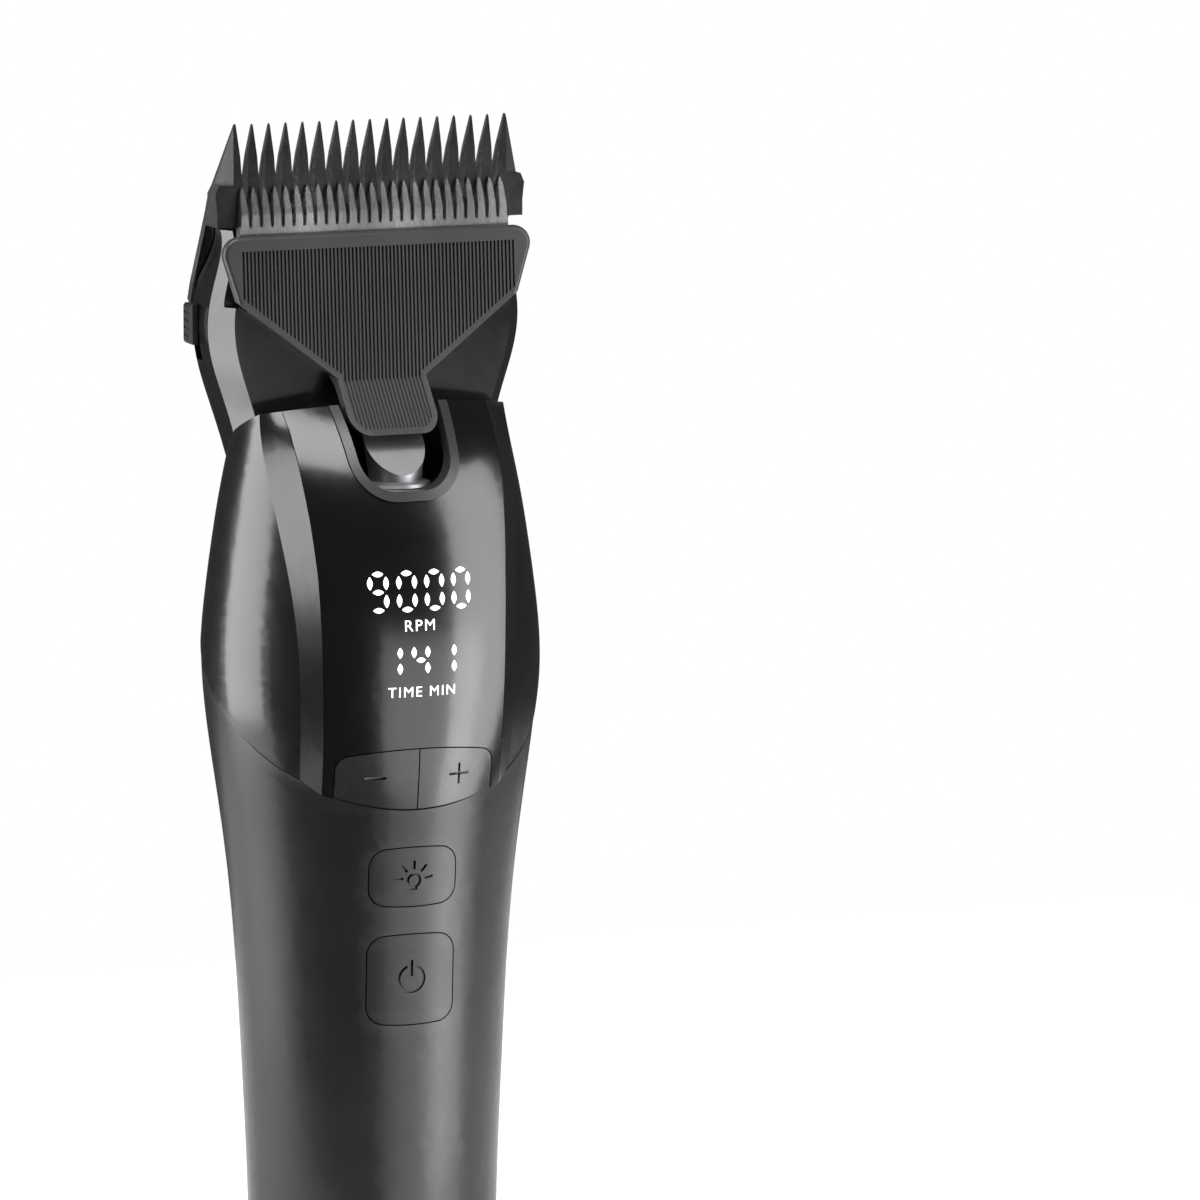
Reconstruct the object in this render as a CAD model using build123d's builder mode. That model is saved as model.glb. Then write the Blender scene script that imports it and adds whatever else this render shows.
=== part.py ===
from build123d import *
from math import acos, cos, degrees, radians, sin, sqrt
import os

# Cordless pet hair clipper with a wide detachable blade head.
# Millimetres. +Z runs up the handle to the blade tips, -Y is the front with the
# display and the buttons, +X is the right-hand side seen from the front.
# The origin is the centre of the flat foot of the end cap.

os.makedirs("parts", exist_ok=True)

# ---------------------------------------------------------------- driving sizes
DEPTH_RATIO = 0.845         # depth of the oval grip over its width
HANDLE_WALL = 2.0
HOUSING_WALL = 2.6
WINDOW_THICK = 1.5
GAP = 0.2                   # running gap round keys and buttons
FIT = 0.1                   # gap between pieces that are fixed together
CAP_TOP = 7.0               # end cap to handle joint

# height, half width of the oval grip
GRIP = (
    (-18.0, 19.6),
    (0.0, 19.8),
    (18.0, 20.15),
    (36.0, 20.9),
    (54.0, 21.85),
    (72.0, 23.5),
    (90.0, 26.0),
    (108.0, 26.85),
    (126.0, 24.3),
)

# height, half width, window half width, ridge half width, front of the window
# at its centre, and how far the window's edge lies behind its centre
CROWN = (
    (72.0, 23.5, 14.6, 17.0, 19.9, 4.0),
    (81.0, 24.6, 14.6, 17.2, 21.2, 3.9),
    (90.0, 26.0, 14.8, 17.5, 22.4, 3.2),
    (99.0, 27.1, 15.0, 17.8, 22.9, 2.9),
    (108.0, 26.8, 15.2, 18.1, 22.9, 2.9),
    (117.0, 25.7, 15.5, 18.8, 22.2, 3.0),
    (126.0, 24.3, 16.1, 19.8, 20.2, 3.1),
    (135.0, 22.5, 16.6, 20.4, 15.9, 3.2),
    (144.0, 20.9, 17.0, 19.9, 7.0, 2.8),
)

# the lower seam falls towards the front, the rim under the head falls to the rear
SEAM_SLOPE = (0, -0.89, 1)
SEAM_Z = 98.6
SEAM = Plane(origin=(0, 0, SEAM_Z), x_dir=(1, 0, 0), z_dir=SEAM_SLOPE)
RIM = Plane(origin=(0, 0, 138.7), x_dir=(1, 0, 0), z_dir=(0, 0.45, 1))

# drive
DRIVE_Y = 4.0               # motor axis behind the centre of the grip
CRANK = 1.2                 # throw of the eccentric
PIN_R = 1.5
STROKE = 1.2                # cutter travel each way
MOTOR_R = 11.5

# head: height, half width, width of the front bevel, how far back the bevel ends,
# start of the rear corner, rear face, half width taken up by the rear corner
HEAD = (
    (127.0, 19.3, 2.6, 1.6, 4.5, 18.4, 14.0),
    (133.0, 20.9, 2.8, 2.0, 6.5, 18.3, 11.0),
    (139.0, 22.1, 2.9, 2.4, 9.0, 18.0, 8.0),
    (146.0, 24.3, 3.0, 2.6, 9.6, 16.2, 6.4),
    (156.0, 25.7, 2.9, 2.4, 9.0, 13.2, 4.8),
    (172.0, 25.5, 2.7, 2.2, 8.8, 12.6, 4.2),
)
HEAD_FRONT = 1.8            # front plane of the hood, forward of the centre
HEAD_WALL = 1.8
HEAD_TOP = 169.4
HEAD_GAP = 0.35             # gap between the head and the housing
SLOPE_LOW = (12.7, 156.4)   # rear slope that carries the sole of the comb: back, height
SLOPE_HIGH = (3.2, 171.5)
POCKET_LOW = 157.5          # the cutter works in front of this pocket of the hood

# blades
CONTACT = 1.0               # plane where cutter and comb meet, forward of the centre
COMB_TEETH = 17
COMB_PITCH = 2.76
COMB_TIP = 186.1
COMB_ROOT = 173.0
COMB_HALF = 25.3
END_TIP_X = 22.3            # the outer teeth spread down to the full width of the comb
CUTTER_TEETH = 25
CUTTER_PITCH = 1.78
CUTTER_HALF = 22.2
CUTTER_TIP = 176.2
CUTTER_ROOT = 169.9
CUTTER_FOOT = 158.5
CUTTER_THICK = 1.8

# ribbed cover
COVER_TOP_FRONT = 4.4       # the cover leans back: front face at its top edge
COVER_FRONT = 6.0           # and at the crease
COVER_BACK = 3.15
LIP = 2.2                   # smooth rounded lip above the ribs
COVER_TOP = 168.8
RIB_PITCH = 0.62
RIB_GROOVE = 0.32
RIB_DEPTH = 0.35
CREASE_Z = 146.0            # height where the tongue bends forward
RIB_COUNT = 73
RIB_MARGIN = 0.9            # plain border round the ribs
TONGUE_END = (13.2, 138.1)  # how far forward and how high the tongue ends

# inside the handle
HANDLE_SPLIT = 6.0          # the shells meet this far behind the centre
HOUSING_SPLIT = 3.5
CAP_FLOOR = 2.2
CAP_HALF = 19.85
PORT_WIDE = 9.2
PORT_DEEP = 3.4
BATTERY_R = 9.1
BOARD_FRONT = 11.6          # front face of the main board, forward of the centre
MOTOR_LOW = 82.0
MOTOR_TOP = 119.2
DECK_TOP = 121.3
SHAFT_R = 1.15
CAM_LOW = 122.6
PIN_TOP = 146.5

# keys and buttons
LIGHT_BUTTON = (64.7, 74.1)
POWER_BUTTON = (45.7, 60.1)
LIGHT_Z = 68.8
POWER_Z = 53.0
KEY_THICK = 2.2
KEY_LIFT = 0.62             # keeps the pressed key clear of the sloping seam
KEY_POST_X = 6.0
KEY_POST_Z = 86.0
KEY_POST_GAP = 1.9          # post end to board
BUTTON_THICK = 3.2
ICON_LINE = 0.4
ICON_X = 6.9
ICON_Z = 85.6
ICON_FLOOR = 20.6           # bottom of the engraving, forward of the centre
LIGHT_ICON_FLOOR = 19.0
POWER_ICON_FLOOR = 17.95
SWITCHES = (
    (-KEY_POST_X, KEY_POST_Z), (KEY_POST_X, KEY_POST_Z), (0, LIGHT_Z), (0, POWER_Z),
)

# recess and latch
TRAY_TOP = 129.2
LATCH_Y = -11.6

# inside the head
POCKET_HALF = 23.9
KNOB_Y = 8.6
KNOB_Z = 154.1
KNOB_TRAVEL = 4.0
STEM_X = 14.0
STEM_BACK = 2.0
STEM_LOW = 161.0
SCREW_X = 18.4
ARM_HALF = 4.8
ARM_BACK = 3.4
ARM_ROOM = ARM_HALF + STROKE + 0.4
BLADE_FIT = 0.05

DRIVE = (0, DRIVE_Y)


def save(piece, name):
    piece.part.label = name
    export_step(piece.part, f"parts/{name}.step")


# ---------------------------------------------------------------- shared forms
def grip_form(inset):
    """Oval grip, drawn in by an even amount."""
    with BuildPart() as form:
        for height, half in GRIP:
            with BuildSketch(Plane.XY.offset(height)):
                Ellipse(half - inset, half * DEPTH_RATIO - inset)
        loft()
    return form.part


def crown_form(inset):
    """Upper housing: an oval whose front is a bowed window between two bevels."""
    with BuildPart() as form:
        for height, half, window, ridge, front, drop in CROWN:
            wide = half - inset
            deep = half * DEPTH_RATIO - inset
            turn = degrees(acos((ridge - inset) / wide))
            edge = window - inset
            with BuildSketch(Plane.XY.offset(height)):
                with BuildLine():
                    rear = EllipticalCenterArc((0, 0), wide, deep, -turn, arc_size=180 + 2 * turn)
                    left = (-edge, -(front - drop - inset))
                    right = (edge, -(front - drop - inset))
                    Line(rear @ 1, left)
                    ThreePointArc(left, (0, -(front - inset)), right)
                    Line(right, rear @ 0)
                make_face()
        loft()
    return form.part


def head_form(inset):
    """Head block: flat front, bevelled front corners, round rear corners."""
    with BuildPart() as form:
        for height, half, bevel, side, corner, rear, round_x in HEAD:
            wide = half - inset
            back = rear - inset
            front = -(HEAD_FRONT - inset)
            bevel_x = wide - bevel
            round_wide = round_x - inset * 0.5
            with BuildSketch(Plane.XY.offset(height)):
                with BuildLine():
                    Line((-bevel_x, front), (bevel_x, front))
                    Line((-wide + round_wide, back), (wide - round_wide, back))
                    for way, start in ((1, 0), (-1, 90)):
                        Line((way * bevel_x, front), (way * wide, side))
                        Line((way * wide, side), (way * wide, corner))
                        EllipticalCenterArc(
                            (way * (wide - round_wide), corner), round_wide, back - corner,
                            start, arc_size=90,
                        )
                make_face()
        loft()
    return form.part


def front_prism(outline, near=0.0, far=40.0):
    """A front-view outline carried forward from y = -near to y = -far."""
    with BuildPart() as prism:
        with BuildSketch(Plane.XZ.offset(near)):
            add(outline)
        extrude(amount=far - near)
    return prism.part


def side_prism(points, half_width):
    """A side-view outline of (y, z) points, carried across the width."""
    with BuildPart() as prism:
        with BuildSketch(Plane.YZ):
            with BuildLine():
                Polyline(*points, close=True)
            make_face()
        extrude(amount=half_width, both=True)
    return prism.part


def notch_outline(grow):
    """Front view of the U-shaped notch under the tongue."""
    with BuildSketch() as outline:
        with BuildLine():
            Polyline((-8.6, 147), (-7.2, 130.0), (7.2, 130.0), (8.6, 147), close=True)
        make_face()
        fillet(outline.vertices().group_by(Axis.Y)[0], 5.4)
        if grow:
            offset(amount=grow)
    return outline.sketch


def window_outline(shrink):
    """Front view of the glossy window."""
    right = [(row[2] - shrink, row[0]) for row in CROWN]
    left = [(-x, z) for x, z in reversed(right)]
    with BuildSketch() as outline:
        with BuildLine():
            Polyline(*right, *left, close=True)
        make_face()
    return outline.sketch


def key_outline(grow):
    """Front view of the pair of speed keys; the seam cuts off its lower edge."""
    with BuildSketch() as outline:
        with BuildLine():
            right_top = (12.9, 88.8)
            left_top = (-12.9, 88.8)
            ThreePointArc(left_top, (0, 90.0), right_top)
            Polyline(right_top, (12.9, 74), (-12.9, 74), left_top)
        make_face()
        fillet(outline.vertices().group_by(Axis.Y)[-1], 2.2)
        if grow:
            offset(amount=grow)
    return outline.sketch


def button_outline(low, high, grow):
    """Front view of a button: a rounded rectangle with bowed ends."""
    half, bow = 7.1, 0.5
    with BuildSketch() as outline:
        with BuildLine():
            ThreePointArc((-half, low + bow), (0, low), (half, low + bow))
            Line((half, low + bow), (half, high - bow))
            ThreePointArc((half, high - bow), (0, high), (-half, high - bow))
            Line((-half, high - bow), (-half, low + bow))
        make_face()
        fillet(outline.vertices(), 2.8)
        if grow:
            offset(amount=grow)
    return outline.sketch


def cover_outline(shrink):
    """Front view of the T-shaped cover and its tongue."""
    right = (
        (26.4, COVER_TOP), (23.2, 158.7), (7.3, CREASE_Z + 0.3), (7.4, TONGUE_END[1]),
    )
    left = [(-x, z) for x, z in reversed(right)]
    with BuildSketch() as outline:
        with BuildLine():
            Polyline(*right, *left, close=True)
        make_face()
        fillet(outline.vertices().group_by(Axis.Y)[-1], 2.7)
        fillet(outline.vertices().group_by(Axis.Y)[0], 3.2)
        if shrink:
            offset(amount=-shrink)
    return outline.sketch


def box_between(x, y, z):
    """A block given by its limits along each axis."""
    with BuildPart() as block:
        with Locations(((x[0] + x[1]) / 2, (y[0] + y[1]) / 2, (z[0] + z[1]) / 2)):
            Box(x[1] - x[0], y[1] - y[0], z[1] - z[0])
    return block.part


def upright(center, radius, low, high, inner=0.0):
    """A vertical cylinder or tube."""
    with BuildPart() as drum:
        with BuildSketch(Plane.XY.offset(low)):
            with Locations(center):
                Circle(radius)
                if inner:
                    Circle(inner, mode=Mode.SUBTRACT)
        extrude(amount=high - low)
    return drum.part


grip_outer = grip_form(0)
crown_outer = crown_form(0)
crown_inner = crown_form(HOUSING_WALL)
head_room = head_form(-HEAD_GAP)

key_hole = front_prism(key_outline(GAP))
notch_hole = front_prism(notch_outline(1.6))
seam_up = Plane(origin=(0, 0, SEAM_Z + 0.16), x_dir=(1, 0, 0), z_dir=SEAM_SLOPE)

# ---------------------------------------------------------------- handle shells
with BuildPart() as handle:
    add(grip_outer)
    add(grip_form(HANDLE_WALL), mode=Mode.SUBTRACT)
    split(bisect_by=Plane.XY.offset(CAP_TOP), keep=Keep.TOP)
    split(bisect_by=SEAM, keep=Keep.BOTTOM)
    for low, high in (LIGHT_BUTTON, POWER_BUTTON):
        add(front_prism(button_outline(low, high, GAP)), mode=Mode.SUBTRACT)

with BuildPart() as handle_front_shell:
    add(handle.part)
    split(bisect_by=Plane.XZ.offset(-HANDLE_SPLIT), keep=Keep.TOP)
save(handle_front_shell, "handle_front_shell")

with BuildPart() as handle_rear_shell:
    add(handle.part)
    split(bisect_by=Plane.XZ.offset(-HANDLE_SPLIT - FIT), keep=Keep.BOTTOM)
save(handle_rear_shell, "handle_rear_shell")

# ---------------------------------------------------------------- end cap
with BuildPart() as end_cap:
    with BuildSketch():
        Ellipse(CAP_HALF, CAP_HALF * DEPTH_RATIO)
    extrude(amount=CAP_TOP - FIT)
    chamfer(end_cap.faces().sort_by(Axis.Z)[0].edges(), 1.6)
    with BuildSketch(Plane.XY.offset(CAP_FLOOR)):
        Ellipse(CAP_HALF - HANDLE_WALL, CAP_HALF * DEPTH_RATIO - HANDLE_WALL)
    extrude(amount=CAP_TOP, mode=Mode.SUBTRACT)
    with BuildSketch():
        SlotOverall(PORT_WIDE, PORT_DEEP)
    extrude(amount=CAP_TOP, mode=Mode.SUBTRACT)
save(end_cap, "end_cap")

with BuildPart() as charging_socket:
    with BuildSketch(Plane.XY.offset(0.3)):
        SlotOverall(PORT_WIDE - 0.2, PORT_DEEP - 0.2)
        SlotOverall(PORT_WIDE - 0.8, PORT_DEEP - 0.8, mode=Mode.SUBTRACT)
    extrude(amount=8.1)
    with BuildSketch(Plane.XY.offset(7.4)):
        SlotOverall(PORT_WIDE - 0.8, PORT_DEEP - 0.8)
    extrude(amount=1.0)
    with BuildSketch(Plane.XY.offset(2.6)):
        Rectangle(PORT_WIDE - 3.0, 0.7)
    extrude(amount=5.0)
save(charging_socket, "charging_socket")

with BuildPart() as charging_board:
    add(box_between((-14, 14), (-9, 9), (8.5, 9.9)))
    for way in (-1, 1):
        add(box_between((way * 9 - 2.5, way * 9 + 2.5), (-6, -2), (9.9, 11.4)))
        add(box_between((way * 10 - 1.2, way * 10 + 1.2), (2, 6), (9.9, 10.7)))
save(charging_board, "charging_board")

# ---------------------------------------------------------------- battery
BATTERY = (0, 1.0)
with BuildPart() as battery_cell:
    add(upright(BATTERY, BATTERY_R, 13.0, 77.5))
    add(upright(BATTERY, 3.2, 77.5, 78.2))
save(battery_cell, "battery_cell")

cradle_webs = []
for low in (16.0, 44.0, 72.0):
    with BuildPart() as web:
        add(grip_form(HANDLE_WALL + FIT))
        split(bisect_by=Plane.XY.offset(low), keep=Keep.TOP)
        split(bisect_by=Plane.XY.offset(low + 1.6), keep=Keep.BOTTOM)
        add(box_between((-30, 30), (-30, 2), (low - 1, low + 3)), mode=Mode.SUBTRACT)
        add(upright(BATTERY, BATTERY_R + 1.3, low - 1, low + 3), mode=Mode.SUBTRACT)
    cradle_webs.append(web.part)

with BuildPart() as battery_cradle:
    add(upright(BATTERY, BATTERY_R + 1.4, 15.0, 75.0, BATTERY_R + FIT))
    add(box_between((-12, 12), (-12, BATTERY[1] - 2), (10, 80)), mode=Mode.SUBTRACT)
    add(cradle_webs)
save(battery_cradle, "battery_cradle")

with BuildPart() as battery_contacts:
    for low in (12.2, 78.3):
        add(upright(BATTERY, 4.5, low, low + 0.6))
        add(box_between((-1.5, 1.5), (-9.9, BATTERY[1]), (low, low + 0.6)))
save(battery_contacts, "battery_contacts")

# ---------------------------------------------------------------- boards
with BuildPart() as main_board:
    add(box_between((-11.5, 11.5), (-BOARD_FRONT, -BOARD_FRONT + 1.4), (40, 116)))
    for z in (48, 62, 80, 96):
        add(box_between((-9, -5), (-BOARD_FRONT + 1.4, -BOARD_FRONT + 2.2), (z, z + 5)))
        add(box_between((5, 8), (-BOARD_FRONT + 1.4, -BOARD_FRONT + 2.2), (z, z + 3)))
save(main_board, "main_board")

with BuildPart() as button_switches:
    for x, z in SWITCHES:
        add(box_between((x - 2.2, x + 2.2), (-BOARD_FRONT - 0.9, -BOARD_FRONT), (z - 2.2, z + 2.2)))
        with BuildSketch(Plane.XZ.offset(BOARD_FRONT + 0.9)):
            with Locations((x, z)):
                Circle(1.1)
        extrude(amount=0.35)
save(button_switches, "button_switches")

with BuildPart() as display_module:
    add(box_between((-10.2, 10.2), (-18.2, -16.4), (101.8, 116.0)))
    add(box_between((-4, 4), (-16.4, -BOARD_FRONT), (103, 104)))
save(display_module, "display_module")

# ---------------------------------------------------------------- upper housing
with BuildPart() as housing:
    add(crown_outer)
    add(crown_inner, mode=Mode.SUBTRACT)
    split(bisect_by=seam_up, keep=Keep.TOP)
    split(bisect_by=RIM, keep=Keep.BOTTOM)
    add(head_room, mode=Mode.SUBTRACT)

with BuildPart() as window_pocket:
    add(front_prism(window_outline(0), 3.0))
    add(crown_form(WINDOW_THICK + FIT), mode=Mode.SUBTRACT)

with BuildPart() as housing_front:
    add(housing.part)
    split(bisect_by=Plane.XZ.offset(-HOUSING_SPLIT), keep=Keep.TOP)
    add(window_pocket.part, mode=Mode.SUBTRACT)
    add(key_hole, mode=Mode.SUBTRACT)
    add(notch_hole, mode=Mode.SUBTRACT)
    add(box_between((-10.6, 10.6), (-30, -10), (101.4, 116.4)), mode=Mode.SUBTRACT)
save(housing_front, "housing_front")

with BuildPart() as housing_rear:
    add(housing.part)
    split(bisect_by=Plane.XZ.offset(-HOUSING_SPLIT - FIT), keep=Keep.BOTTOM)
save(housing_rear, "housing_rear")

with BuildPart() as display_window:
    add(front_prism(window_outline(FIT), 3.0))
    add(crown_outer, mode=Mode.INTERSECT)
    add(crown_form(WINDOW_THICK), mode=Mode.SUBTRACT)
    split(bisect_by=seam_up, keep=Keep.TOP)
    split(bisect_by=RIM, keep=Keep.BOTTOM)
    add(key_hole, mode=Mode.SUBTRACT)
    add(notch_hole, mode=Mode.SUBTRACT)
    add(head_room, mode=Mode.SUBTRACT)
save(display_window, "display_window")

latch_room = upright((0, LATCH_Y), 5.9, TRAY_TOP - 0.1, TRAY_TOP + 2.1)
with BuildPart() as recess_rim:
    add(front_prism(notch_outline(1.5), 2.4))
    add(front_prism(notch_outline(0), 2.0), mode=Mode.SUBTRACT)
    add(crown_form(-0.35), mode=Mode.INTERSECT)
    add(crown_inner, mode=Mode.SUBTRACT)
    split(bisect_by=RIM, keep=Keep.BOTTOM)
    add(head_room, mode=Mode.SUBTRACT)
    add(latch_room, mode=Mode.SUBTRACT)
save(recess_rim, "recess_rim")

# ---------------------------------------------------------------- keys and buttons
with BuildPart() as keys:
    add(front_prism(key_outline(0), 10.0))
    add(crown_outer, mode=Mode.INTERSECT)
    add(crown_form(KEY_THICK), mode=Mode.SUBTRACT)
    split(
        bisect_by=Plane(origin=(0, 0, SEAM_Z + KEY_LIFT), x_dir=(1, 0, 0), z_dir=SEAM_SLOPE),
        keep=Keep.TOP,
    )
    for x in (-KEY_POST_X, KEY_POST_X):
        with BuildSketch(Plane.XZ.offset(BOARD_FRONT + KEY_POST_GAP)):
            with Locations((x, KEY_POST_Z)):
                Circle(1.6)
        extrude(until=Until.NEXT)

with BuildPart() as minus_key:
    add(keys.part)
    split(bisect_by=Plane.YZ.offset(-GAP / 2), keep=Keep.BOTTOM)
    with BuildSketch(Plane.XZ.offset(30)):
        with Locations((-ICON_X, ICON_Z)):
            Rectangle(3.4, ICON_LINE)
    extrude(amount=-(30 - ICON_FLOOR), mode=Mode.SUBTRACT)
save(minus_key, "minus_key")

with BuildPart() as plus_key:
    add(keys.part)
    split(bisect_by=Plane.YZ.offset(GAP / 2), keep=Keep.TOP)
    with BuildSketch(Plane.XZ.offset(30)):
        with Locations((ICON_X, ICON_Z)):
            Rectangle(3.4, ICON_LINE)
            Rectangle(ICON_LINE, 3.4)
    extrude(amount=-(30 - ICON_FLOOR), mode=Mode.SUBTRACT)
save(plus_key, "plus_key")


def grip_button(limits, icon, icon_floor, back):
    """A flush button of the handle with a collar behind the shell."""
    low, high = limits
    with BuildPart() as collar:
        add(front_prism(button_outline(low, high, 1.2), back))
        add(grip_form(HANDLE_WALL + 0.4), mode=Mode.INTERSECT)
    with BuildPart() as button:
        add(front_prism(button_outline(low, high, 0), back))
        add(grip_outer, mode=Mode.INTERSECT)
        add(collar.part)
        add(grip_form(BUTTON_THICK), mode=Mode.SUBTRACT)
        with BuildSketch(Plane.XZ.offset(30)):
            add(icon)
        extrude(amount=-(30 - icon_floor), mode=Mode.SUBTRACT)
    return button


with BuildSketch() as power_icon:
    with Locations((0, POWER_Z)):
        Circle(2.3)
        Circle(2.3 - ICON_LINE, mode=Mode.SUBTRACT)
    with Locations((0, POWER_Z + 2.3)):
        Rectangle(1.5, 2.2, mode=Mode.SUBTRACT)
    with Locations((0, POWER_Z + 1.7)):
        Rectangle(ICON_LINE, 2.6)

with BuildSketch() as light_icon:
    with Locations((0, LIGHT_Z)):
        Circle(1.2)
        Circle(1.2 - ICON_LINE, mode=Mode.SUBTRACT)
    with Locations((0, LIGHT_Z - 1.3)):
        Rectangle(1.2, ICON_LINE)
    for angle in (10, 50, 90, 130, 170):
        reach = 2.5
        spot = (reach * cos(radians(angle)), LIGHT_Z + reach * sin(radians(angle)))
        with Locations(Location((spot[0], spot[1], 0), (0, 0, angle))):
            Rectangle(1.4, ICON_LINE)

light_button = grip_button(LIGHT_BUTTON, light_icon.sketch, LIGHT_ICON_FLOOR, 12)
save(light_button, "light_button")
power_button = grip_button(POWER_BUTTON, power_icon.sketch, POWER_ICON_FLOOR, 12)
save(power_button, "power_button")

# ---------------------------------------------------------------- motor and drive
with BuildPart() as motor_can:
    add(upright(DRIVE, MOTOR_R, MOTOR_LOW, MOTOR_TOP))
    fillet(motor_can.edges().filter_by(GeomType.CIRCLE).sort_by(Axis.Z)[0], 1.2)
    add(upright(DRIVE, SHAFT_R + 0.05, MOTOR_LOW - 1, MOTOR_TOP + 1), mode=Mode.SUBTRACT)
save(motor_can, "motor_can")

with BuildPart() as motor_end_bearing:
    add(upright(DRIVE, 3.5, MOTOR_LOW - 2.2, MOTOR_LOW, SHAFT_R + 0.05))
save(motor_end_bearing, "motor_end_bearing")

with BuildPart() as motor_mount:
    add(crown_form(HOUSING_WALL + FIT))
    split(bisect_by=Plane.XY.offset(MOTOR_TOP + FIT), keep=Keep.TOP)
    split(bisect_by=Plane.XY.offset(DECK_TOP), keep=Keep.BOTTOM)
    add(upright(DRIVE, 3.4, MOTOR_TOP - 1, DECK_TOP + 1), mode=Mode.SUBTRACT)
    add(box_between((-5, 5), (-18, -6), (MOTOR_TOP - 1, DECK_TOP + 1)), mode=Mode.SUBTRACT)
    for x in (-7.5, 7.5):
        add(upright((x, DRIVE_Y), 1.1, MOTOR_TOP - 1, DECK_TOP + 1), mode=Mode.SUBTRACT)
save(motor_mount, "motor_mount")

with BuildPart() as motor_screws:
    for x in (-7.5, 7.5):
        add(upright((x, DRIVE_Y), 1.0, MOTOR_TOP + 0.1, DECK_TOP))
        add(upright((x, DRIVE_Y), 1.9, DECK_TOP, DECK_TOP + 1.0))
        add(box_between((x - 1.4, x + 1.4), (DRIVE_Y - 0.25, DRIVE_Y + 0.25),
                        (DECK_TOP + 0.5, DECK_TOP + 1.2)), mode=Mode.SUBTRACT)
save(motor_screws, "motor_screws")

with BuildPart() as shaft_seal:
    add(upright(DRIVE, 3.3, MOTOR_TOP + FIT, DECK_TOP + 0.6, SHAFT_R + 0.08))
save(shaft_seal, "shaft_seal")

with BuildPart() as motor_shaft:
    add(upright(DRIVE, SHAFT_R, MOTOR_LOW - 2.8, CAM_LOW + 3.0))
save(motor_shaft, "motor_shaft")

with BuildPart() as eccentric_cam:
    add(upright(DRIVE, 4.4, CAM_LOW, CAM_LOW + 4.0))
    add(upright((-1.8, DRIVE_Y), 3.4, CAM_LOW, CAM_LOW + 4.0))
    add(upright(DRIVE, SHAFT_R, CAM_LOW - 1, CAM_LOW + 3.0), mode=Mode.SUBTRACT)
    add(upright((CRANK, DRIVE_Y), PIN_R, CAM_LOW + 3.2, CAM_LOW + 5), mode=Mode.SUBTRACT)
save(eccentric_cam, "eccentric_cam")

with BuildPart() as drive_pin:
    add(upright((CRANK, DRIVE_Y), PIN_R, CAM_LOW + 3.2, PIN_TOP))
save(drive_pin, "drive_pin")

# ---------------------------------------------------------------- recess and latch
with BuildPart() as recess_tray:
    add(crown_form(HOUSING_WALL + FIT))
    split(bisect_by=Plane.XY.offset(TRAY_TOP - 1.6), keep=Keep.TOP)
    split(bisect_by=Plane.XY.offset(TRAY_TOP), keep=Keep.BOTTOM)
    split(bisect_by=Plane.XZ.offset(2.6), keep=Keep.TOP)
    add(head_room, mode=Mode.SUBTRACT)
    add(box_between((-2.4, 2.4), (LATCH_Y - 1.8, LATCH_Y + 3.6), (TRAY_TOP - 3, TRAY_TOP + 1)),
        mode=Mode.SUBTRACT)
save(recess_tray, "recess_tray")

with BuildPart() as release_latch:
    with BuildSketch(Plane.XZ):
        with BuildLine():
            Polyline(
                (0, TRAY_TOP + 0.3), (4.9, TRAY_TOP + 0.3), (5.5, TRAY_TOP + 0.9),
                (5.3, TRAY_TOP + 1.4), (4.2, TRAY_TOP + 1.7), (4.3, TRAY_TOP + 3.6),
                (5.2, TRAY_TOP + 9.5), (0, TRAY_TOP + 9.5), close=True,
            )
        make_face()
    revolve(axis=Axis.Z)
    with BuildSketch(Plane.XY.offset(TRAY_TOP - 6)):
        Rectangle(4.0, 3.0)
    extrude(amount=7)
    add(box_between((-8, 8), (2.6, 9), (100, 150)), mode=Mode.SUBTRACT)
release_latch = release_latch.part.moved(Location((0, LATCH_Y, 0)))
with BuildPart() as release_latch_cut:
    add(release_latch)
    split(
        bisect_by=Plane(
            origin=(0, -TONGUE_END[0] + 1.5, TONGUE_END[1] - 1.9),
            x_dir=(1, 0, 0), z_dir=(0, -1, 1),
        ),
        keep=Keep.BOTTOM,
    )
save(release_latch_cut, "release_latch")

with BuildPart() as latch_spring:
    with BuildLine() as coil:
        Helix(pitch=0.8, height=3.2, radius=1.2, center=(0, LATCH_Y + 1.9, TRAY_TOP - 4.4),
              direction=(0, 1, 0))
    with BuildSketch(Plane(origin=coil.line @ 0, z_dir=coil.line % 0)):
        Circle(0.2)
    sweep(is_frenet=True)
save(latch_spring, "latch_spring")

# ---------------------------------------------------------------- head: hood
slope_run = SLOPE_LOW[0] - SLOPE_HIGH[0]
slope_rise = SLOPE_HIGH[1] - SLOPE_LOW[1]


def slope_plane(lift):
    """The rear slope of the head, raised off the surface by an even amount."""
    length = sqrt(slope_run ** 2 + slope_rise ** 2)
    out = (slope_rise / length, slope_run / length)
    return Plane(
        origin=(0, SLOPE_LOW[0] + out[0] * lift, SLOPE_LOW[1] + out[1] * lift),
        x_dir=(1, 0, 0), z_dir=(0, out[0], out[1]),
    )


with BuildPart() as hood_hollow:
    add(head_form(HEAD_WALL))
    split(bisect_by=Plane.XY.offset(HEAD[0][0] + HEAD_WALL), keep=Keep.TOP)

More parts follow.
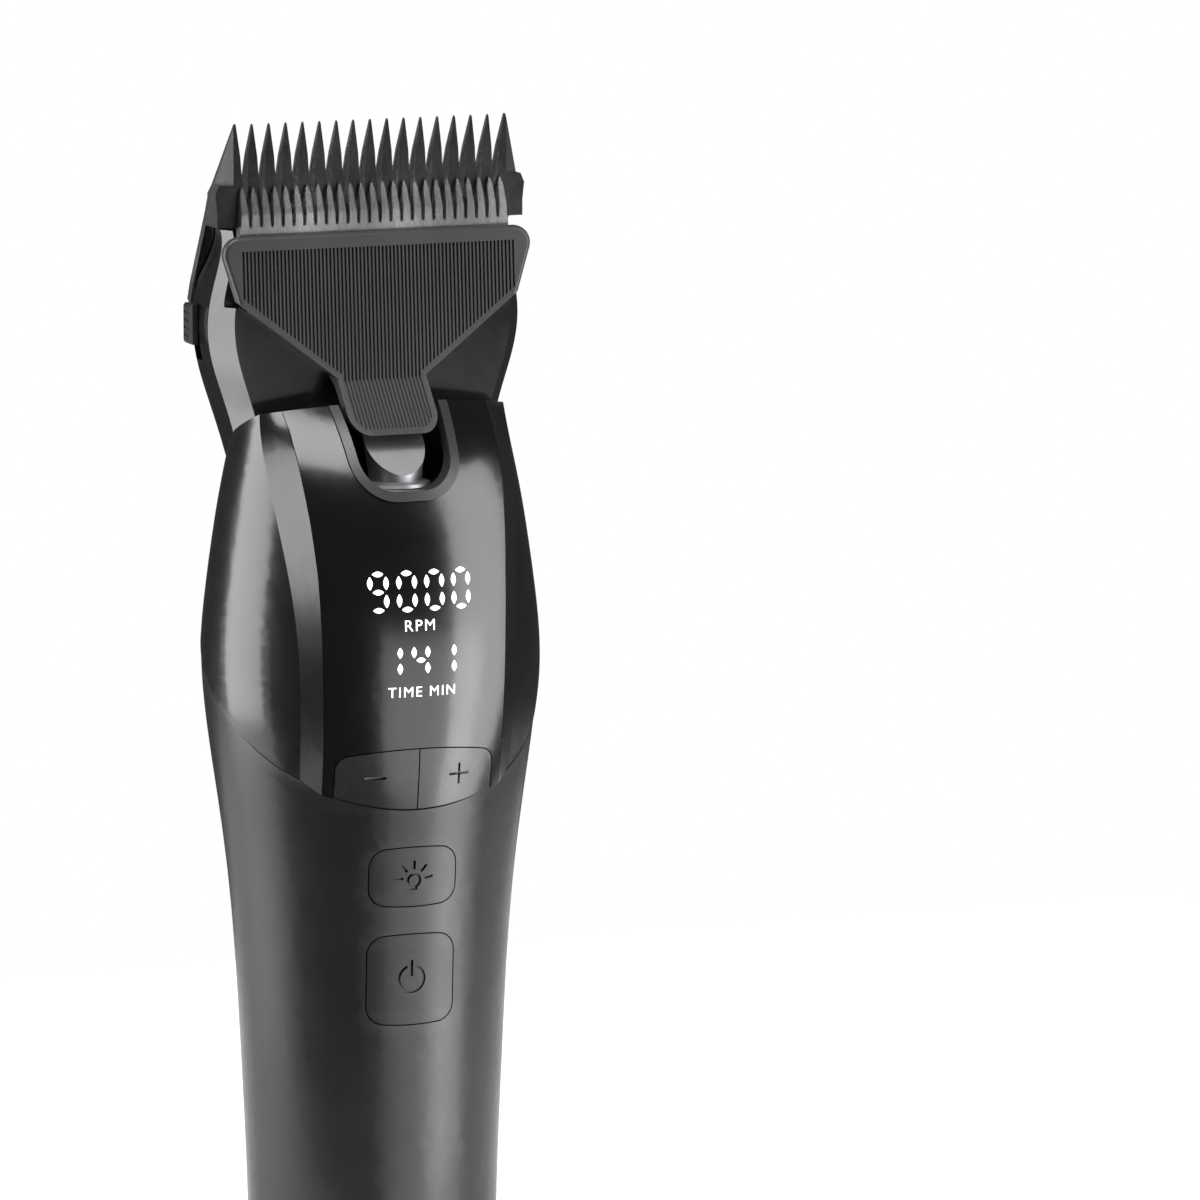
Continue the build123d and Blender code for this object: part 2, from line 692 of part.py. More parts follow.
with BuildPart() as head_hood:
    add(head_form(0))
    add(hood_hollow.part, mode=Mode.SUBTRACT)
    split(bisect_by=Plane.XY.offset(HEAD_TOP), keep=Keep.BOTTOM)
    split(bisect_by=slope_plane(0), keep=Keep.BOTTOM)
    add(upright(DRIVE, 6.4, HEAD[0][0] - 1, HEAD[0][0] + 3), mode=Mode.SUBTRACT)
    add(box_between((-POCKET_HALF, POCKET_HALF), (-4, 0.15), (POCKET_LOW, 180)),
        mode=Mode.SUBTRACT)
    add(box_between((-28, -20), (KNOB_Y - 1.5, KNOB_Y + 1.5),
                    (KNOB_Z - 1.8 - KNOB_TRAVEL, KNOB_Z + 1.8)), mode=Mode.SUBTRACT)
save(head_hood, "head_hood")

# ---------------------------------------------------------------- head: cover
with BuildSketch() as groove_field:
    with GridLocations(RIB_PITCH, 1, RIB_COUNT, 1):
        Rectangle(RIB_GROOVE, 400)
    add(cover_outline(RIB_MARGIN), mode=Mode.INTERSECT)

with BuildPart() as groove_layer:
    add(side_prism(
        (
            (-COVER_FRONT - 1, COVER_TOP - LIP), (-COVER_FRONT - 1, CREASE_Z + 0.4),
            (-TONGUE_END[0] - 2, TONGUE_END[1] - 1.2),
            (-TONGUE_END[0] + RIB_DEPTH, TONGUE_END[1] - 1.2),
            (-TONGUE_END[0] + RIB_DEPTH * 1.4, TONGUE_END[1]),
            (-COVER_FRONT + RIB_DEPTH, CREASE_Z - 0.15),
            (-COVER_TOP_FRONT + RIB_DEPTH, COVER_TOP - LIP),
        ),
        30,
    ))
    add(front_prism(groove_field.sketch), mode=Mode.INTERSECT)

with BuildPart() as ribbed_cover:
    add(side_prism(
        (
            (-COVER_TOP_FRONT, COVER_TOP), (-COVER_FRONT, CREASE_Z),
            (-TONGUE_END[0], TONGUE_END[1]), (-TONGUE_END[0] + 1.1, TONGUE_END[1] - 0.6),
            (-COVER_FRONT + 1.5, CREASE_Z - 1.2), (-HEAD_FRONT - FIT, CREASE_Z),
            (-HEAD_FRONT - FIT, POCKET_LOW - 0.5), (-COVER_BACK, POCKET_LOW - 0.5),
            (-COVER_BACK, COVER_TOP),
        ),
        30,
    ))
    add(front_prism(cover_outline(0)), mode=Mode.INTERSECT)
    top_edge = ribbed_cover.edges().filter_by(Axis.X).group_by(Axis.Z)[-1].sort_by(Axis.Y)[0]
    fillet(top_edge, 0.7)
    add(groove_layer.part, mode=Mode.SUBTRACT)
save(ribbed_cover, "ribbed_cover")

# ---------------------------------------------------------------- head: carrier
stem_room = [
    box_between((way * STEM_X - 2.4, way * STEM_X + 2.4), (-3, STEM_BACK + 0.3),
                (STEM_LOW - 0.4, 172))
    for way in (-1, 1)
]
with BuildPart() as comb_carrier:
    add(head_form(HEAD_WALL + FIT))
    split(bisect_by=Plane.XY.offset(POCKET_LOW + 0.7), keep=Keep.TOP)
    split(bisect_by=Plane.XY.offset(HEAD_TOP + 0.2), keep=Keep.BOTTOM)
    split(bisect_by=slope_plane(-FIT), keep=Keep.BOTTOM)
    add(box_between((-ARM_ROOM, ARM_ROOM), (-3, ARM_BACK + 1.0), (150, 180)), mode=Mode.SUBTRACT)
    for room in stem_room:
        add(room, mode=Mode.SUBTRACT)
    for way in (-1, 1):
        with BuildSketch(Plane.XZ.offset(-0.1)):
            with Locations((way * SCREW_X, 163.5)):
                Circle(1.1)
        extrude(amount=-6, mode=Mode.SUBTRACT)
save(comb_carrier, "comb_carrier")

with BuildPart() as carrier_screws:
    for way in (-1, 1):
        with BuildSketch(Plane.XZ.offset(-0.1)):
            with Locations((way * SCREW_X, 163.5)):
                Circle(2.0)
        extrude(amount=0.7)
        with BuildSketch(Plane.XZ.offset(-0.1)):
            with Locations((way * SCREW_X, 163.5)):
                Circle(1.0)
        extrude(amount=-5.5)
save(carrier_screws, "carrier_screws")

# ---------------------------------------------------------------- head: comb
sole_low = slope_plane(0.3).origin
sole_low_out = slope_plane(1.7).origin
back_lean = slope_run / slope_rise
with BuildSketch() as comb_outline:
    with BuildLine():
        right = (
            (COMB_HALF - 0.6, 150), (COMB_HALF, 160), (COMB_HALF, 172.4), (COMB_HALF + 0.3, 175.2),
            (COMB_HALF - 0.2, 176.4), (END_TIP_X + 0.14, COMB_TIP), (END_TIP_X - 0.1, COMB_TIP),
            (END_TIP_X - 1.0, COMB_ROOT + 4), (20, COMB_ROOT),
        )
        left = [(-x, z) for x, z in reversed(right)]
        Polyline(*right, *left, close=True)
    make_face()
    for number in range(COMB_TEETH):
        middle = (number - (COMB_TEETH - 1) / 2) * COMB_PITCH
        lean = 0.010 * middle
        with BuildLine():
            Polyline(
                (middle - 1.12, COMB_ROOT - 0.5), (middle - 0.98, COMB_ROOT + 3.0),
                (middle - 0.72 + lean * 0.5, COMB_ROOT + 8.0), (middle - 0.14 + lean, COMB_TIP - 0.3),
                (middle + lean, COMB_TIP), (middle + 0.14 + lean, COMB_TIP - 0.3),
                (middle + 0.72 + lean * 0.5, COMB_ROOT + 8.0), (middle + 0.98, COMB_ROOT + 3.0),
                (middle + 1.12, COMB_ROOT - 0.5), close=True,
            )
        make_face()

with BuildPart() as comb_blade:
    add(side_prism(
        (
            (-CONTACT, 170.0), (-CONTACT, COMB_TIP), (-CONTACT + 0.45, COMB_TIP),
            (3.0, 174.6), (4.64, 172.6), (sole_low_out.Y, sole_low_out.Z), (sole_low.Y, sole_low.Z),
            (sole_low.Y - (170.0 - sole_low.Z) * back_lean, 170.0),
        ),
        30,
    ))
    add(front_prism(comb_outline.sketch, -20), mode=Mode.INTERSECT)
    with BuildSketch(Plane.XY.offset(176.6)):
        for way in (-1, 1):
            with BuildLine():
                Polyline(
                    (way * (END_TIP_X + 0.2), -CONTACT - 0.1), (way * 27, -CONTACT - 0.1),
                    (way * 27, 3.0), close=True,
                )
            make_face()
    extrude(amount=12, mode=Mode.SUBTRACT)
    for way in (-1, 1):
        add(box_between((way * STEM_X - 2.0, way * STEM_X + 2.0), (-CONTACT, STEM_BACK),
                        (STEM_LOW, 170.5)))
save(comb_blade, "comb_blade")

# ---------------------------------------------------------------- head: cutter
with BuildSketch() as cutter_outline:
    with BuildLine():
        Polyline(
            (-CUTTER_HALF, CUTTER_ROOT + 0.2), (-CUTTER_HALF, CUTTER_FOOT + 3),
            (-CUTTER_HALF + 3, CUTTER_FOOT), (CUTTER_HALF - 3, CUTTER_FOOT),
            (CUTTER_HALF, CUTTER_FOOT + 3), (CUTTER_HALF, CUTTER_ROOT + 0.2), close=True,
        )
    make_face()
    for number in range(CUTTER_TEETH):
        middle = (number - (CUTTER_TEETH - 1) / 2) * CUTTER_PITCH
        with BuildLine():
            Polyline(
                (middle - 0.66, CUTTER_ROOT), (middle - 0.42, CUTTER_TIP - 1.2),
                (middle - 0.12, CUTTER_TIP), (middle + 0.12, CUTTER_TIP),
                (middle + 0.42, CUTTER_TIP - 1.2), (middle + 0.66, CUTTER_ROOT), close=True,
            )
        make_face()

cutter_back = -CONTACT - BLADE_FIT
with BuildPart() as cutter_blade:
    add(side_prism(
        (
            (cutter_back, CUTTER_FOOT), (cutter_back, CUTTER_TIP), (cutter_back - 0.35, CUTTER_TIP),
            (cutter_back - CUTTER_THICK, CUTTER_ROOT + 2.2), (cutter_back - CUTTER_THICK, CUTTER_FOOT),
        ),
        30,
    ))
    add(front_prism(cutter_outline.sketch), mode=Mode.INTERSECT)
    for way in (-1, 1):
        with BuildSketch(Plane.XZ.offset(5)):
            with Locations((way * 3.0, 161.5)):
                Circle(1.05)
        extrude(amount=-10, mode=Mode.SUBTRACT)
save(cutter_blade, "cutter_blade")

slot_half = PIN_R + CRANK + STROKE + 0.3
slot_deep = PIN_R + CRANK + 0.3
with BuildPart() as cutter_follower:
    add(box_between((-ARM_HALF, ARM_HALF), (cutter_back, ARM_BACK), (POCKET_LOW + 0.5, 164.0)))
    add(box_between((-ARM_HALF, ARM_HALF), (0.7, ARM_BACK), (148.0, POCKET_LOW + 0.6)))
    add(box_between((-slot_half - 1.6, slot_half + 1.6), (0.4, DRIVE_Y + slot_deep + 1.0),
                    (141.0, 149.0)))
    add(box_between((-slot_half, slot_half), (DRIVE_Y - slot_deep, 20), (140.0, 147.5)),
        mode=Mode.SUBTRACT)
    for way in (-1, 1):
        with BuildSketch(Plane.XZ.offset(5)):
            with Locations((way * 3.0, 161.5)):
                Circle(1.05)
        extrude(amount=-10, mode=Mode.SUBTRACT)
save(cutter_follower, "cutter_follower")

with BuildPart() as cutter_screws:
    for way in (-1, 1):
        with BuildSketch(Plane.XZ.offset(-cutter_back + CUTTER_THICK)):
            with Locations((way * 3.0, 161.5)):
                Circle(1.0)
        extrude(amount=-4.0)
save(cutter_screws, "cutter_screws")

with BuildPart() as tension_spring:
    with BuildSketch(Plane.YZ):
        with BuildLine():
            Polyline(
                (ARM_BACK + 0.05, 163.0), (ARM_BACK + 0.45, 163.0), (ARM_BACK + 0.45, 154.0),
                (ARM_BACK + 3.4, 150.4), (ARM_BACK + 3.1, 150.1), (ARM_BACK + 0.05, 153.8),
                close=True,
            )
        make_face()
    extrude(amount=2.5, both=True)
save(tension_spring, "tension_spring")

# ---------------------------------------------------------------- head: cut length
with BuildPart() as length_knob:
    add(box_between((-27.2, -25.95), (KNOB_Y - 1.8, KNOB_Y + 1.8), (KNOB_Z - 3.15, KNOB_Z + 3.15)))
    chamfer(length_knob.faces().sort_by(Axis.X)[0].edges(), 0.4)
    for step in (-1.5, -0.5, 0.5, 1.5):
        add(box_between((-27.3, -27.0), (KNOB_Y - 1.4, KNOB_Y + 1.4),
                        (KNOB_Z + step * 1.2 - 0.2, KNOB_Z + step * 1.2 + 0.2)), mode=Mode.SUBTRACT)
    add(box_between((-26.2, -22.3), (KNOB_Y - 1.1, KNOB_Y + 1.1), (KNOB_Z - 1.4, KNOB_Z + 1.4)))
save(length_knob, "length_knob")

with BuildPart() as length_cam:
    add(box_between((-22.2, -20.8), (KNOB_Y - 3.6, KNOB_Y + 0.8), (KNOB_Z - 3.0, KNOB_Z + 3.2)))
    with BuildSketch(Plane.YZ.offset(-20.0)):
        with Locations(Location((KNOB_Y - 1.6, KNOB_Z, 0), (0, 0, 60))):
            SlotOverall(4.6, 1.2)
    extrude(amount=-3.0, mode=Mode.SUBTRACT)
save(length_cam, "length_cam")
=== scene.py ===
import math

import bmesh
import bpy
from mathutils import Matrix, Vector
from mathutils.bvhtree import BVHTree


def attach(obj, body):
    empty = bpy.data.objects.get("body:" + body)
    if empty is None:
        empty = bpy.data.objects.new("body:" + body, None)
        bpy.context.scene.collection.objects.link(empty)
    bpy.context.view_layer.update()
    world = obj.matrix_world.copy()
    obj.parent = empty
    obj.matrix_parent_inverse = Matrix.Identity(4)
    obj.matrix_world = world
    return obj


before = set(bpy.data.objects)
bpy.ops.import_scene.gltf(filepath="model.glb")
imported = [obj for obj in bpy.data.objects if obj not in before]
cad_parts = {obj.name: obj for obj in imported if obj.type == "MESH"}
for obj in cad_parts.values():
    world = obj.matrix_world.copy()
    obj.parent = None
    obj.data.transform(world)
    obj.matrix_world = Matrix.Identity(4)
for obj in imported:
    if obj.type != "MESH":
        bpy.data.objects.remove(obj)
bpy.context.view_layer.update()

MM = 0.001                  # sizes below are in millimetres


# ------------------------------------------------------------------ materials
def new_material(name):
    mat = bpy.data.materials.new(name)
    mat.use_nodes = True
    nodes = mat.node_tree.nodes
    return mat, nodes, mat.node_tree.links, nodes["Principled BSDF"]


def noise(nodes, links, coords, scale, detail=4.0, rough=0.55, stretch=(1, 1, 1)):
    """Noise in object space; scale counts features per metre."""
    mapping = nodes.new("ShaderNodeMapping")
    mapping.inputs["Scale"].default_value = stretch
    links.new(coords.outputs["Object"], mapping.inputs["Vector"])
    tex = nodes.new("ShaderNodeTexNoise")
    tex.inputs["Scale"].default_value = scale
    tex.inputs["Detail"].default_value = detail
    tex.inputs["Roughness"].default_value = rough
    links.new(mapping.outputs["Vector"], tex.inputs["Vector"])
    return tex.outputs["Fac"]


def ramp(nodes, links, value, low, high, out_low, out_high):
    """Maps the range low..high to out_low..out_high, clamped."""
    node = nodes.new("ShaderNodeMapRange")
    node.inputs["From Min"].default_value = low
    node.inputs["From Max"].default_value = high
    node.inputs["To Min"].default_value = out_low
    node.inputs["To Max"].default_value = out_high
    links.new(value, node.inputs["Value"])
    return node.outputs["Result"]


def blend_colour(nodes, links, factor, first, second):
    """Mixes two colours, each a tuple or a socket."""
    mix = nodes.new("ShaderNodeMix")
    mix.data_type = "RGBA"
    links.new(factor, mix.inputs["Factor"])
    for socket, value in ((mix.inputs[6], first), (mix.inputs[7], second)):
        if isinstance(value, tuple):
            socket.default_value = (*value, 1.0)
        else:
            links.new(value, socket)
    return mix.outputs[2]


def surface(
    name, colour, rough, metallic=0.0, vary=0.12, grain=2500.0, grain_depth=0.02,
    stretch=(1, 1, 1), rough_vary=0.08, wear=0.0, wear_colour=(0.5, 0.5, 0.5),
    coat=0.0, coat_rough=0.08, painted_flank_highlight=None,
):
    """A moulded or machined surface with grain, uneven roughness and worn edges; the optional flank colour
    is a painted highlight on faces turned sideways.
    """
    mat, nodes, links, shader = new_material(name)
    coords = nodes.new("ShaderNodeTexCoord")
    broad = noise(nodes, links, coords, 60.0, detail=3.0)
    fine = noise(nodes, links, coords, grain, detail=5.0, stretch=stretch)
    dark = tuple(c * (1 - vary) for c in colour)
    light = tuple(min(1.0, c * (1 + vary)) for c in colour)
    tone = blend_colour(nodes, links, ramp(nodes, links, broad, 0.3, 0.7, 0, 1), dark, light)
    if wear:
        geometry = nodes.new("ShaderNodeNewGeometry")
        edge = ramp(nodes, links, geometry.outputs["Pointiness"], 0.52, 0.62, 0.0, wear)
        tone = blend_colour(nodes, links, edge, tone, wear_colour)
    # painted highlight: faces whose true normal points left or right are blended towards a lighter colour,
    # standing in for the light on the tooth flanks
    if painted_flank_highlight:
        parts = nodes.new("ShaderNodeSeparateXYZ")
        facets = nodes.new("ShaderNodeNewGeometry")
        links.new(facets.outputs["True Normal"], parts.inputs[0])
        sideways = nodes.new("ShaderNodeMath")
        sideways.operation = "ABSOLUTE"
        links.new(parts.outputs["X"], sideways.inputs[0])
        flank_highlight_mask = ramp(nodes, links, sideways.outputs[0], 0.3, 0.6, 0.0, 1.0)
        tone = blend_colour(nodes, links, flank_highlight_mask, tone, painted_flank_highlight)
    links.new(tone, shader.inputs["Base Color"])
    uneven = nodes.new("ShaderNodeMath")
    uneven.operation = "ADD"
    links.new(ramp(nodes, links, broad, 0.3, 0.7, -rough_vary / 2, rough_vary / 2),
              uneven.inputs[0])
    links.new(ramp(nodes, links, fine, 0.3, 0.7, rough - rough_vary / 3, rough + rough_vary / 3),
              uneven.inputs[1])
    links.new(uneven.outputs[0], shader.inputs["Roughness"])
    bump = nodes.new("ShaderNodeBump")
    bump.inputs["Strength"].default_value = 0.6
    bump.inputs["Distance"].default_value = grain_depth * MM
    links.new(fine, bump.inputs["Height"])
    links.new(bump.outputs["Normal"], shader.inputs["Normal"])
    shader.inputs["Metallic"].default_value = metallic
    shader.inputs["Coat Weight"].default_value = coat
    shader.inputs["Coat Roughness"].default_value = coat_rough
    return mat


satin_grip = surface(
    "satin_grip", (0.014, 0.014, 0.015), 0.31, vary=0.08, grain=5200, grain_depth=0.008,
    wear=0.2, wear_colour=(0.10, 0.10, 0.10),
)
gloss_housing = surface(
    "gloss_housing", (0.008, 0.008, 0.009), 0.24, vary=0.1, grain=300, grain_depth=0.004,
    rough_vary=0.05, coat=0.35, coat_rough=0.14, wear=0.12, wear_colour=(0.08, 0.08, 0.08),
)
window_gloss = surface(
    "window_gloss", (0.005, 0.005, 0.006), 0.2, vary=0.1, grain=240, grain_depth=0.003,
    rough_vary=0.04, coat=0.35, coat_rough=0.12,
)
hood_gloss = surface(
    "hood_gloss", (0.008, 0.008, 0.009), 0.20, vary=0.1, grain=420, grain_depth=0.005,
    rough_vary=0.06, coat=0.4, coat_rough=0.1, wear=0.25, wear_colour=(0.12, 0.12, 0.12),
)
key_gloss = surface(
    "key_gloss", (0.022, 0.022, 0.024), 0.26, vary=0.08, grain=900, grain_depth=0.006,
    coat=0.3, coat_rough=0.12,
)
trim_satin = surface(
    "trim_satin", (0.05, 0.05, 0.052), 0.3, metallic=0.3, grain=2600, grain_depth=0.01,
)
black_plastic = surface(
    "black_plastic", (0.014, 0.014, 0.015), 0.45, grain=1800, grain_depth=0.02,
)
cover_satin = surface(
    "cover_satin", (0.030, 0.030, 0.031), 0.42, vary=0.1, grain=3600, grain_depth=0.012,
    wear=0.3, wear_colour=(0.12, 0.12, 0.12),
)
# the flank colours of blade_steel and comb_steel are a painted highlight on the sideways faces of the
# teeth
blade_steel = surface(
    "blade_steel", (0.52, 0.52, 0.53), 0.24, metallic=1.0, vary=0.06, grain=900,
    grain_depth=0.0006, stretch=(9, 1, 1),
    painted_flank_highlight=(0.92, 0.92, 0.92),
)
comb_steel = surface(
    "comb_steel", (0.075, 0.075, 0.077), 0.24, metallic=1.0, vary=0.08, grain=900,
    grain_depth=0.0006, stretch=(7, 7, 1),
    painted_flank_highlight=(0.85, 0.85, 0.86),
)
bright_steel = surface(
    "bright_steel", (0.66, 0.66, 0.67), 0.2, metallic=1.0, vary=0.05, grain=1200,
    grain_depth=0.005, stretch=(1, 1, 9),
)
latch_metal = surface(
    "latch_metal", (0.32, 0.32, 0.33), 0.42, metallic=0.9, vary=0.05, grain=1400,
    grain_depth=0.004, stretch=(1, 1, 6),
)
brass = surface("brass", (0.62, 0.45, 0.2), 0.28, metallic=1.0, grain=1500, grain_depth=0.008)
circuit_board = surface(
    "circuit_board", (0.02, 0.12, 0.05), 0.35, grain=900, grain_depth=0.02, vary=0.3,
)
battery_wrap = surface("battery_wrap", (0.05, 0.14, 0.3), 0.3, grain=500, grain_depth=0.01)
soft_seal = surface("soft_seal", (0.02, 0.02, 0.02), 0.6, grain=2500, grain_depth=0.03)
white_plastic = surface("white_plastic", (0.7, 0.7, 0.68), 0.4, grain=2000, grain_depth=0.01)

NODE_MATERIAL = {
    "handle_front_shell": satin_grip, "handle_rear_shell": satin_grip, "end_cap": satin_grip,
    "charging_socket": bright_steel, "charging_board": circuit_board,
    "battery_cell": battery_wrap, "battery_cradle": black_plastic,
    "battery_contacts": bright_steel, "main_board": circuit_board,
    "button_switches": black_plastic, "display_module": white_plastic,
    "housing_front": gloss_housing, "housing_rear": gloss_housing,
    "display_window": window_gloss, "recess_rim": trim_satin, "recess_tray": black_plastic,
    "motor_can": bright_steel, "motor_end_bearing": brass, "motor_mount": black_plastic,
    "motor_screws": bright_steel, "shaft_seal": soft_seal, "latch_spring": bright_steel,
    "motor_shaft": bright_steel, "eccentric_cam": brass, "drive_pin": bright_steel, "minus_key": key_gloss,
    "plus_key": key_gloss, "light_button": satin_grip, "power_button": satin_grip,
    "release_latch": latch_metal, "head_hood": hood_gloss, "ribbed_cover": cover_satin,
    "comb_carrier": black_plastic, "carrier_screws": bright_steel, "comb_blade": comb_steel,
    "length_knob": black_plastic, "length_cam": white_plastic, "cutter_blade": blade_steel,
    "cutter_follower": white_plastic, "tension_spring": bright_steel,
    "cutter_screws": bright_steel,
}


def cad(node):
    return bpy.data.objects[node]


def soften(node, width, segments=2, angle=32):
    """Rounds the sharp edges of a moulded piece."""
    bevel = cad(node).modifiers.new("edge", "BEVEL")
    bevel.width = width * MM
    bevel.segments = segments
    bevel.limit_method = "ANGLE"
    bevel.angle_limit = math.radians(angle)
    weighted = cad(node).modifiers.new("flat_faces", "WEIGHTED_NORMAL")
    weighted.weight = 100
    weighted.keep_sharp = True


for node, mat in NODE_MATERIAL.items():
    for slot in cad(node).material_slots:
        slot.material = mat

for node, width in (
    ("head_hood", 0.35), ("housing_front", 0.25), ("housing_rear", 0.25), ("display_window", 0.2),
    ("minus_key", 0.25), ("plus_key", 0.25), ("handle_front_shell", 0.2),
    ("handle_rear_shell", 0.2), ("end_cap", 0.3), ("light_button", 0.2), ("power_button", 0.2),
    ("recess_rim", 0.15), ("release_latch", 0.15), ("length_knob", 0.2), ("comb_carrier", 0.15),
):
    soften(node, width)
# one flat facet on each edge of the teeth
soften("comb_blade", 0.28, segments=1, angle=40)
soften("cutter_blade", 0.22, segments=1, angle=40)

# ------------------------------------------------------------------ display
window_mesh = cad("display_window").data
window_tree = BVHTree.FromPolygons(
    [v.co.copy() for v in window_mesh.vertices],
    [tuple(p.vertices) for p in window_mesh.polygons],
)
LIFT = 0.04 * MM


def on_window(x, z):
    """The point of the window's front face at (x, z) in millimetres."""
    hit = window_tree.ray_cast(Vector((x * MM, -0.1, z * MM)), Vector((0, 1, 0)))
    return hit[0] - Vector((0, LIFT, 0))


def glow_material(name, strength):
    """The lit parts of the display."""
    mat, nodes, links, shader = new_material(name)
    coords = nodes.new("ShaderNodeTexCoord")
    grain = noise(nodes, links, coords, 2600.0, detail=2.0)
    tone = blend_colour(
        nodes, links, ramp(nodes, links, grain, 0.3, 0.7, 0, 1), (0.86, 0.9, 0.93), (1, 1, 1),
    )
    links.new(tone, shader.inputs["Base Color"])
    links.new(tone, shader.inputs["Emission Color"])
    shader.inputs["Emission Strength"].default_value = strength
    shader.inputs["Roughness"].default_value = 0.4
    return mat


digit_glow = glow_material("digit_glow", 1.6)


def add_panel_piece(name, polygons):
    """Flat glowing shapes, given as (x, z) outlines, laid on the window."""
    bm = bmesh.new()
    for outline in polygons:
        verts = [bm.verts.new(on_window(x, z)) for x, z in outline]
        bm.faces.new(verts)
    mesh = bpy.data.meshes.new(name)
    bm.to_mesh(mesh)
    bm.free()
    mesh.materials.append(digit_glow)
    piece = bpy.data.objects.new(name, mesh)
    bpy.context.collection.objects.link(piece)
    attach(piece, "handle")
    return piece


SEGMENTS = {
    "0": "abcdef", "1": "bc", "2": "abged", "3": "abgcd", "4": "fgbc", "5": "afgcd",
    "6": "afgedc", "7": "abc", "8": "abcdefg", "9": "abcdfg",
}


def lens(start, end, fat, shrink=0.42):
    """A spindle-shaped segment between two points."""
    run = Vector((end[0] - start[0], end[1] - start[1]))
    unit = run.normalized()
    side = Vector((-unit.y, unit.x))
    first = Vector(start) + unit * shrink
    last = Vector(end) - unit * shrink
    steps = 6
    along = [first.lerp(last, i / steps) for i in range(steps + 1)]
    bulge = [fat * math.sin(math.pi * (0.05 + 0.9 * i / steps)) for i in range(steps + 1)]
    near = [tuple(p + side * b) for p, b in zip(along, bulge)]
    far = [tuple(p - side * b) for p, b in zip(along, bulge)]
    return near + far[::-1]


def digit(character, x, z, width, height, fat):
    """Seven-segment outlines with the lower left corner at (x, z)."""
    mid, top, right = z + height / 2, z + height, x + width
    ends = {
        "a": ((x, top), (right, top)), "b": ((right, top), (right, mid)),
        "c": ((right, mid), (right, z)), "d": ((x, z), (right, z)),
        "e": ((x, mid), (x, z)), "f": ((x, top), (x, mid)), "g": ((x, mid), (right, mid)),
    }
    return [lens(*ends[key], fat) for key in SEGMENTS[character]]


def number(text, middle_x, z, height, pitch, fat):
    """Outlines of a row of digits, centred on middle_x."""
    width = height * 0.45
    start = middle_x - ((len(text) - 1) * pitch + width) / 2
    shapes = []
    for place, character in enumerate(text):
        shapes += digit(character, start + place * pitch, z, width, height, fat)
    return shapes


def label(name, text, middle_x, z, height):
    """A generic unit label laid on the window."""
    curve = bpy.data.curves.new(name, "FONT")
    curve.body = text
    curve.align_x = "CENTER"
    curve.size = height / 0.7 * MM
    curve.space_character = 1.2
    curve.resolution_u = 4
    holder = bpy.data.objects.new(name + "_curve", curve)
    bpy.context.collection.objects.link(holder)
    bpy.context.view_layer.update()
    mesh = bpy.data.meshes.new_from_object(
        holder.evaluated_get(bpy.context.evaluated_depsgraph_get())
    )
    bpy.data.objects.remove(holder)
    bpy.data.curves.remove(curve)
    for vertex in mesh.vertices:
        vertex.co = on_window(vertex.co.x / MM + middle_x, vertex.co.y / MM + z)
    mesh.materials.clear()
    mesh.materials.append(digit_glow)
    piece = bpy.data.objects.new(name, mesh)
    bpy.context.collection.objects.link(piece)
    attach(piece, "handle")


add_panel_piece("display_speed_digits", number("9000", 0.2, 112.1, 5.6, 4.55, 0.43))
label("display_speed_unit", "RPM", -0.1, 108.7, 1.75)
add_panel_piece("display_time_digits", number("141", 0.0, 101.6, 5.0, 4.5, 0.43))
label("display_time_unit", "TIME MIN", 0.3, 98.4, 1.6)

# ------------------------------------------------------------------ camera
CAMERA = (-506.7, -1392.2, 344.65)
AIM_ROW = 110.0
AIM_SHIFT = 36.1
turn = math.radians(-20)
target = Vector((math.cos(turn) * AIM_SHIFT, math.sin(turn) * AIM_SHIFT, AIM_ROW)) * MM
camera = bpy.data.cameras.new("camera")
camera.lens = 286.6
camera.sensor_width = 36
camera.clip_end = 20
camera_object = bpy.data.objects.new("camera", camera)
camera_object.location = Vector(CAMERA) * MM
camera_object.rotation_euler = (
    (target - camera_object.location).to_track_quat("-Z", "Y").to_euler()
)
bpy.context.collection.objects.link(camera_object)
bpy.context.scene.camera = camera_object

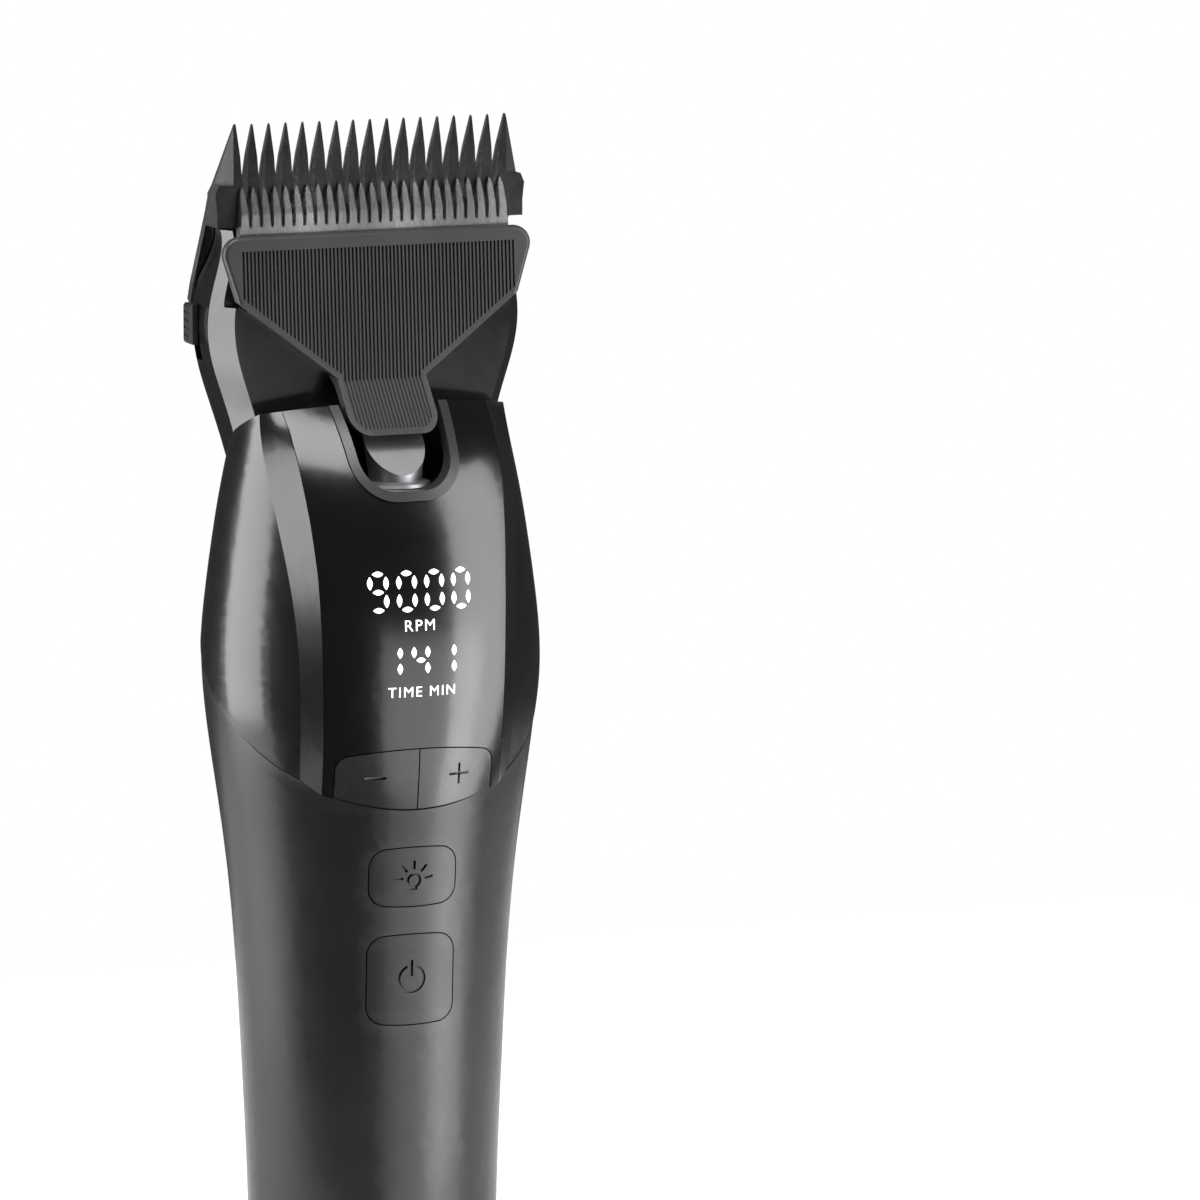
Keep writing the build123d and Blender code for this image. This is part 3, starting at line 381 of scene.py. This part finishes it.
# ------------------------------------------------------------------ floor and light
# The floor stops just in front of the foot, so that the dark sides don't mirror it.
FLOOR = 0.26
FLOOR_FRONT = -0.05
floor_mesh = bpy.data.meshes.new("floor")
floor_mesh.from_pydata(
    [(-FLOOR, FLOOR_FRONT, 0), (FLOOR, FLOOR_FRONT, 0), (FLOOR, FLOOR, 0), (-FLOOR, FLOOR, 0)],
    [], [(0, 1, 2, 3)],
)
floor = bpy.data.objects.new("floor", floor_mesh)
bpy.context.collection.objects.link(floor)
floor_mat = surface("floor_pale", (0.93, 0.93, 0.93), 0.8, vary=0.01, grain=300)
floor_shader = floor_mat.node_tree.nodes["Principled BSDF"]
floor_shader.inputs["Emission Color"].default_value = (1, 1, 1, 1)
floor_shader.inputs["Emission Strength"].default_value = 0.3
floor_mesh.materials.append(floor_mat)

world = bpy.data.worlds.new("studio")
bpy.context.scene.world = world
world.use_nodes = True
world_nodes = world.node_tree.nodes
world_links = world.node_tree.links
backdrop = world_nodes["Background"]
backdrop.inputs["Color"].default_value = (1, 1, 1, 1)
backdrop.inputs["Strength"].default_value = 1.0
fill = world_nodes.new("ShaderNodeBackground")
fill.inputs["Color"].default_value = (1, 1, 1, 1)
fill.inputs["Strength"].default_value = 0.04
path = world_nodes.new("ShaderNodeLightPath")
chooser = world_nodes.new("ShaderNodeMixShader")
world_links.new(path.outputs["Is Camera Ray"], chooser.inputs[0])
world_links.new(fill.outputs[0], chooser.inputs[1])
world_links.new(backdrop.outputs[0], chooser.inputs[2])
world_links.new(chooser.outputs[0], world_nodes["World Output"].inputs["Surface"])


def softbox(name, azimuth, elevation, distance, size, power, aim_z=0.11):
    """An area light; azimuth 0 is the front, 90 the left side."""
    light = bpy.data.lights.new(name, "AREA")
    light.shape = "RECTANGLE"
    light.size, light.size_y = size
    light.energy = power
    spot = bpy.data.objects.new(name, light)
    a, e = math.radians(azimuth), math.radians(elevation)
    aim = Vector((0, 0, aim_z))
    spot.location = aim + distance * Vector(
        (-math.sin(a) * math.cos(e), -math.cos(a) * math.cos(e), math.sin(e))
    )
    spot.rotation_euler = (aim - spot.location).to_track_quat("-Z", "Y").to_euler()
    bpy.context.collection.objects.link(spot)


softbox("low_front", -25, -6, 0.45, (0.40, 0.22), 0.7, aim_z=0.0)
softbox("right_front", -50, 3, 0.8, (0.42, 1.3), 9.5, aim_z=0.05)
softbox("left", 104, 6, 0.8, (0.62, 1.1), 13.0)
softbox("above", 30, 68, 0.9, (0.7, 0.5), 8, aim_z=0.12)

bpy.context.scene.view_settings.view_transform = "Standard"
